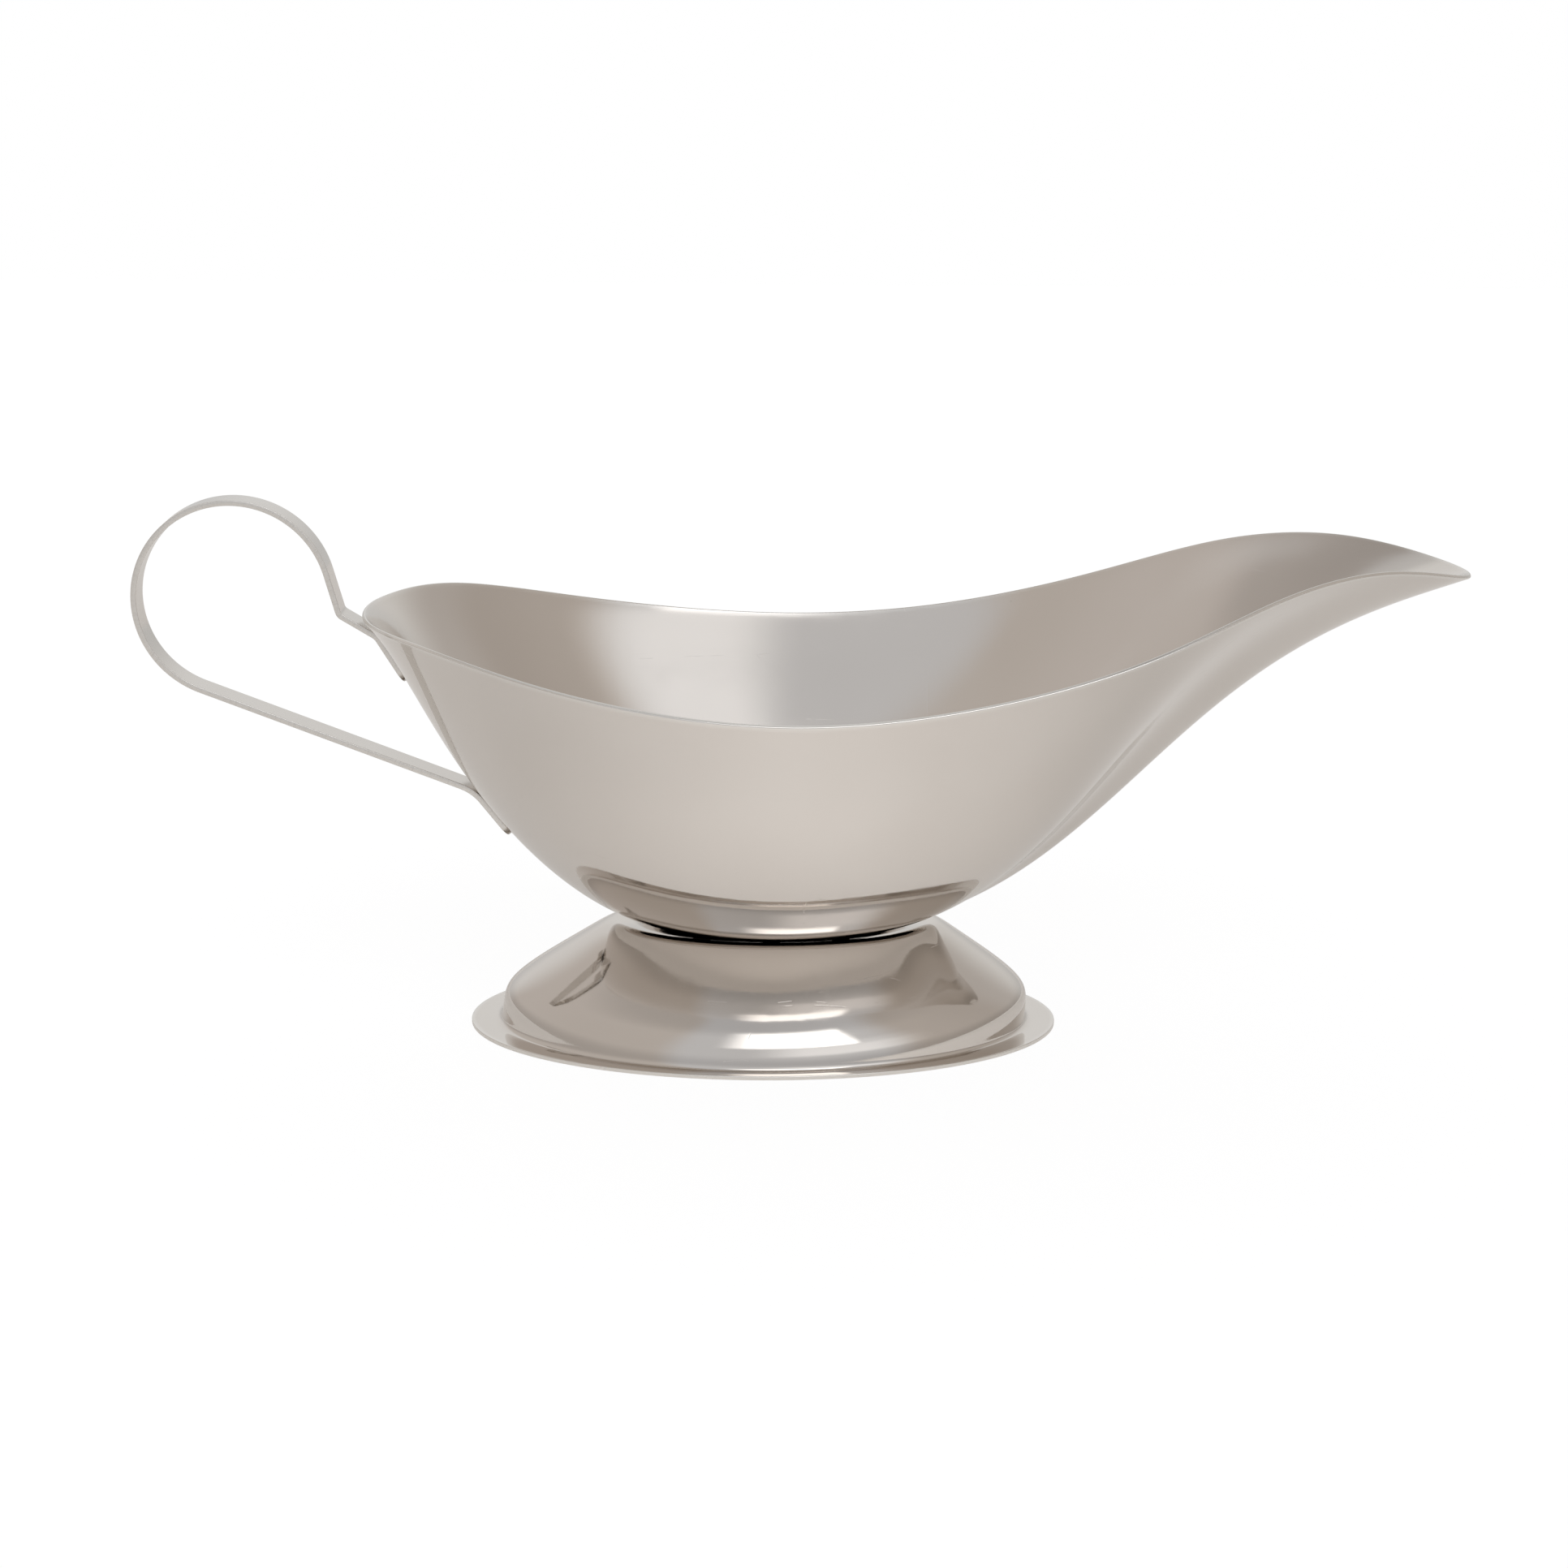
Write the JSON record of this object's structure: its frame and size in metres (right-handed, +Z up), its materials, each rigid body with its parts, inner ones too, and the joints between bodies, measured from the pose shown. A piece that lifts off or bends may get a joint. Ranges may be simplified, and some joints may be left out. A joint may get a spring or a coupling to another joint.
{
  "type": "gravy boat",
  "caption": "Polished stainless steel gravy boat: a pressed bowl drawn out to a pouring spout, on a hollow oval pedestal foot, with a bent strap handle.",
  "frame": {"origin": "on the table, under the middle of the overall length and of the width", "axes": "+X towards the pouring spout, the handle at -X; +Z up out of the bowl; +Y across, so that the boat is symmetric about the XZ plane"},
  "size_m": [0.2173, 0.0908, 0.0881],
  "materials": {
    "polished_sheet": "polished",
    "polished_strap": "polished",
    "weld_nugget": "as welded"
  },
  "bodies": {
    "root": {"bowl": "polished_sheet", "pedestal_foot": "polished_sheet", "strap_handle": "polished_strap", "handle_spot_welds": "weld_nugget", "foot_spot_welds": "weld_nugget"}
  },
  "joints": []
}
